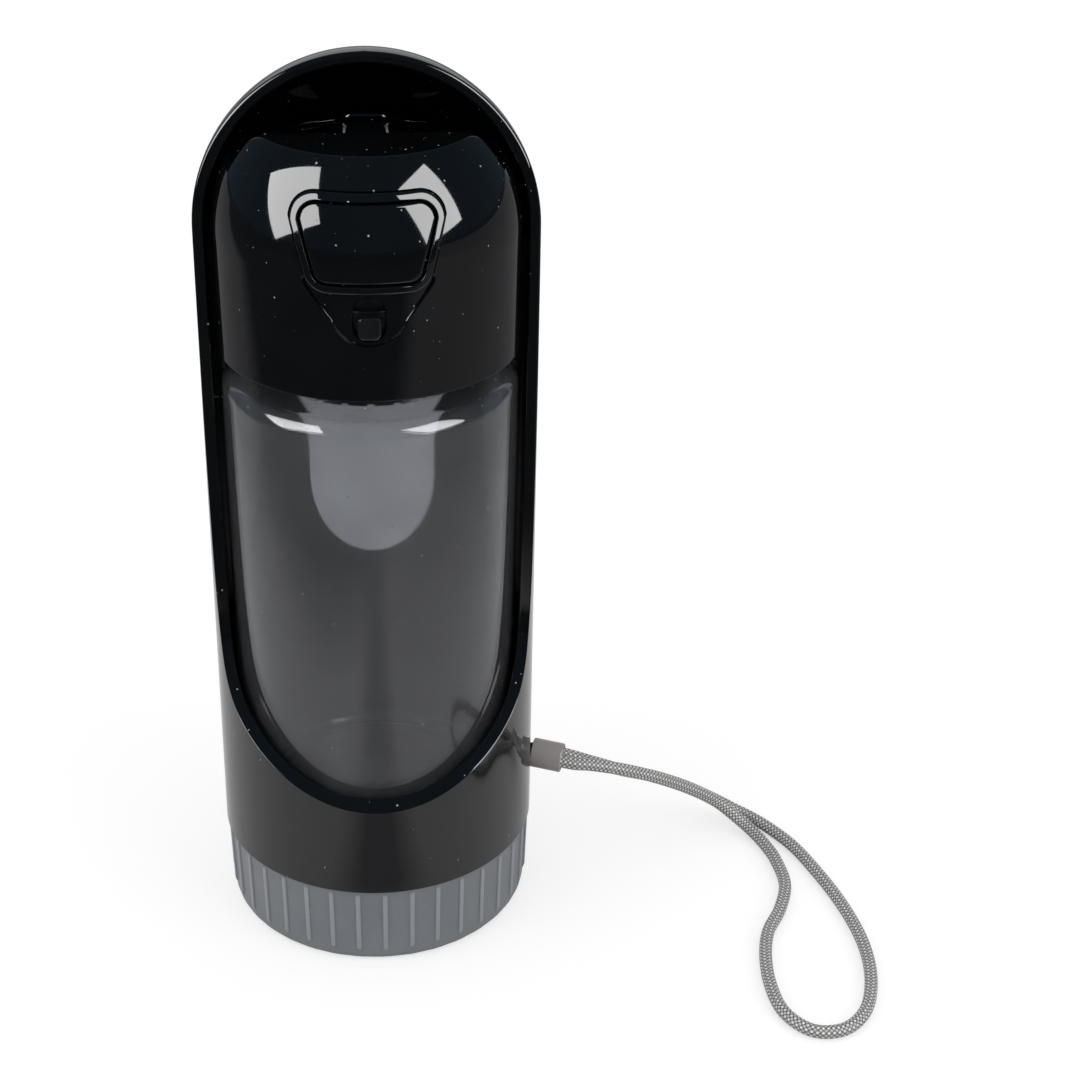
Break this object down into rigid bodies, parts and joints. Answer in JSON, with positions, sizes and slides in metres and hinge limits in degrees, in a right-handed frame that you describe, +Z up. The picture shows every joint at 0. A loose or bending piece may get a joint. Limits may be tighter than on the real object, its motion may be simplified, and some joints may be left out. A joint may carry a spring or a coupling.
{
  "type": "dog travel water bottle",
  "caption": "Travel water bottle for dogs: a dark clear bottle with a push-button head in a domed shell that slides up to make a drinking trough, on a ribbed storage base with a wrist cord.",
  "frame": {"origin": "centre of the base where it stands", "axes": "+Z up, the button and the open side of the shell face -Y, the lanyard leaves on +X"},
  "size_m": [0.1575, 0.1089, 0.2135],
  "materials": {
    "shell_black": "high gloss",
    "base_grey": "satin",
    "smoked_clear": "clear gloss",
    "inner_black": "satin",
    "seal_black": "matt",
    "seal_clear": "matt",
    "seal_red": "matt",
    "stem_grey": "satin",
    "crank_white": "satin",
    "spring_steel": "bright",
    "ferrule_grey": "satin",
    "cord_silver": "braided"
  },
  "bodies": {
    "base": {"base_cup": "base_grey", "base_gasket": "seal_black"},
    "bottle_unit": {"bottle": "smoked_clear", "neck_collar": "inner_black", "neck_seal": "seal_clear", "valve_body": "inner_black", "stem_gland": "seal_red", "valve_spring": "spring_steel", "vent_valve": "seal_clear", "outlet_nozzle": "shell_black", "crank_pin": "spring_steel", "head_housing": "shell_black", "deck_plate": "shell_black", "button_bezel": "shell_black", "slider_keeper": "inner_black", "head_screws": "spring_steel", "guide_key": "inner_black"},
    "shell": {"trough_shell": "shell_black", "lanyard_anchor": "inner_black", "lanyard_ferrule": "ferrule_grey", "lanyard_cord": "cord_silver"},
    "button": {"press_button": "shell_black"},
    "lock": {"lock_slider": "inner_black"},
    "crank": {"bell_crank": "crank_white"},
    "valve": {"valve_stem": "stem_grey", "valve_seal": "seal_red"}
  },
  "joints": [
    {"name": "base_twist", "type": "hinge", "parent": "base", "child": "bottle_unit", "pos_m": [0, 0, 0], "axis": [0, 0, 1], "range_deg": [0, 60]},
    {"name": "trough_slide", "type": "slide", "parent": "bottle_unit", "child": "shell", "axis": [0, 0, 1], "range_m": [0, 0.055]},
    {"name": "button_press", "type": "slide", "parent": "bottle_unit", "child": "button", "axis": [0, 1, 0], "range_m": [0, 0.002], "stiffness_N_per_m": 1500},
    {"name": "lock_slide", "type": "slide", "parent": "bottle_unit", "child": "lock", "axis": [0, 0, 1], "range_m": [0, 0.0033]},
    {"name": "crank_tilt", "type": "hinge", "parent": "bottle_unit", "child": "crank", "pos_m": [0, -0.017, 0.175], "axis": [1, 0, 0], "range_deg": [-9.6, 0]},
    {"name": "valve_drop", "type": "slide", "parent": "bottle_unit", "child": "valve", "axis": [0, 0, -1], "range_m": [0, 0.00351], "deforming": ["valve_spring"]}
  ],
  "couplings": [
    {"joint": "crank_tilt", "follows": "button_press", "rad_per_m": -83.333},
    {"joint": "valve_drop", "follows": "button_press", "ratio": 1.75}
  ]
}
